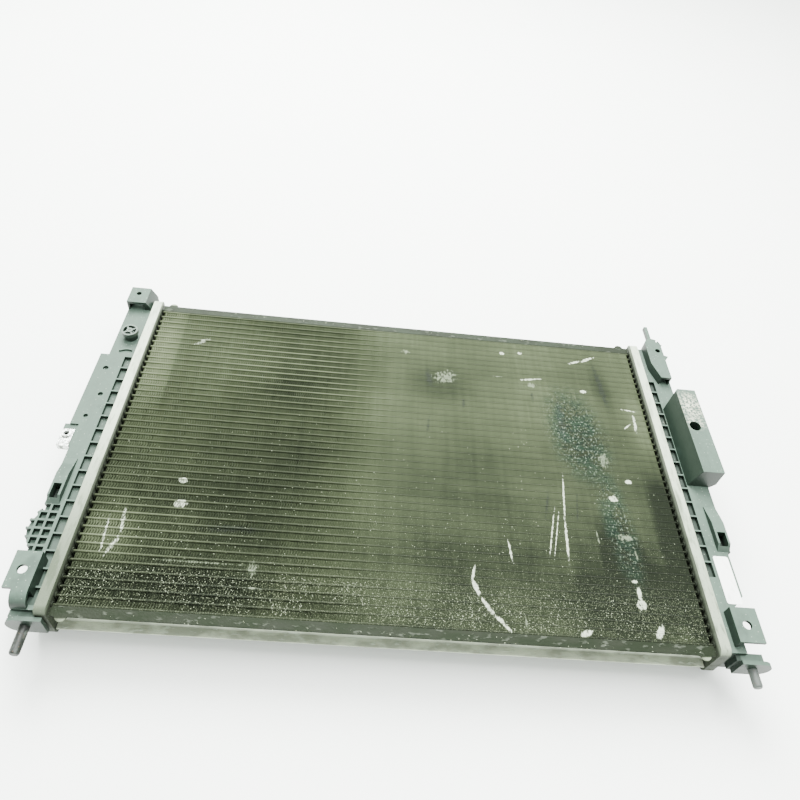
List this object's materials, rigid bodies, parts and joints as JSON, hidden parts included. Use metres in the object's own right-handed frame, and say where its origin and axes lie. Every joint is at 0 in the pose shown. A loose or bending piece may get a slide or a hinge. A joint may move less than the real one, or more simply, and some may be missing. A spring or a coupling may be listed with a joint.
{
  "type": "car radiator",
  "caption": "Cross-flow car radiator: finned flat-tube aluminium core between two moulded side tanks, with hose spigots, bleed screw, drain plug and locating pins.",
  "frame": {"origin": "middle of the whole outline, on the plane that the radiator lies on (the ends of the four cowl posts on its back)", "axes": "+X towards the tank with the raised bracket box, +Y towards the upper side plate, +Z out of the front (air inlet) face; in a car +Y is up"},
  "size_m": [0.648, 0.428, 0.084],
  "materials": {
    "core_tube": "dull, stained",
    "core_fin": "dull, clogged with dirt",
    "side_plate": "corroded, crusted",
    "header_plate": "brazed, matt, chalky",
    "tank_plastic": "glass-filled nylon, dusty",
    "pin_plastic": "worn",
    "clip_steel": "zinc plated",
    "label_paper": "blank, slightly dirty",
    "screw_plastic": "moulded",
    "plug_plastic": "moulded",
    "seal_rubber": "matt"
  },
  "bodies": {
    "radiator": {"core_tubes": "core_tube", "core_fins": "core_fin", "upper_side_plate": "side_plate", "lower_side_plate": "side_plate", "left_header_plate": "header_plate", "right_header_plate": "header_plate", "left_header_gasket": "seal_rubber", "right_header_gasket": "seal_rubber", "left_tank": "tank_plastic", "right_tank": "tank_plastic", "bracket_box": "tank_plastic", "left_locating_pin": "pin_plastic", "right_locating_pin": "pin_plastic", "clip_nut": "clip_steel", "label": "label_paper"},
    "bleed_seal": {"bleed_screw_seal": "seal_rubber"},
    "bleed_screw": {"bleed_screw": "screw_plastic"},
    "drain_seal": {"drain_plug_seal": "seal_rubber"},
    "drain_plug": {"drain_plug": "plug_plastic"}
  },
  "joints": [
    {"name": "bleed_lift", "type": "slide", "parent": "radiator", "child": "bleed_seal", "axis": [0, 0, 1], "range_m": [0, 0.003]},
    {"name": "bleed_turn", "type": "hinge", "parent": "bleed_seal", "child": "bleed_screw", "pos_m": [-0.295, 0.127, 0.065], "axis": [0, 0, 1], "range_deg": [0, 720]},
    {"name": "drain_lift", "type": "slide", "parent": "radiator", "child": "drain_seal", "axis": [0, 0, -1], "range_m": [0, 0.004]},
    {"name": "drain_turn", "type": "hinge", "parent": "drain_seal", "child": "drain_plug", "pos_m": [0.294, -0.14, 0.02], "axis": [0, 0, -1], "range_deg": [0, 720]}
  ],
  "couplings": [
    {"joint": "bleed_turn", "follows": "bleed_lift", "rad_per_m": 4188.7},
    {"joint": "drain_turn", "follows": "drain_lift", "rad_per_m": 3141.5}
  ]
}
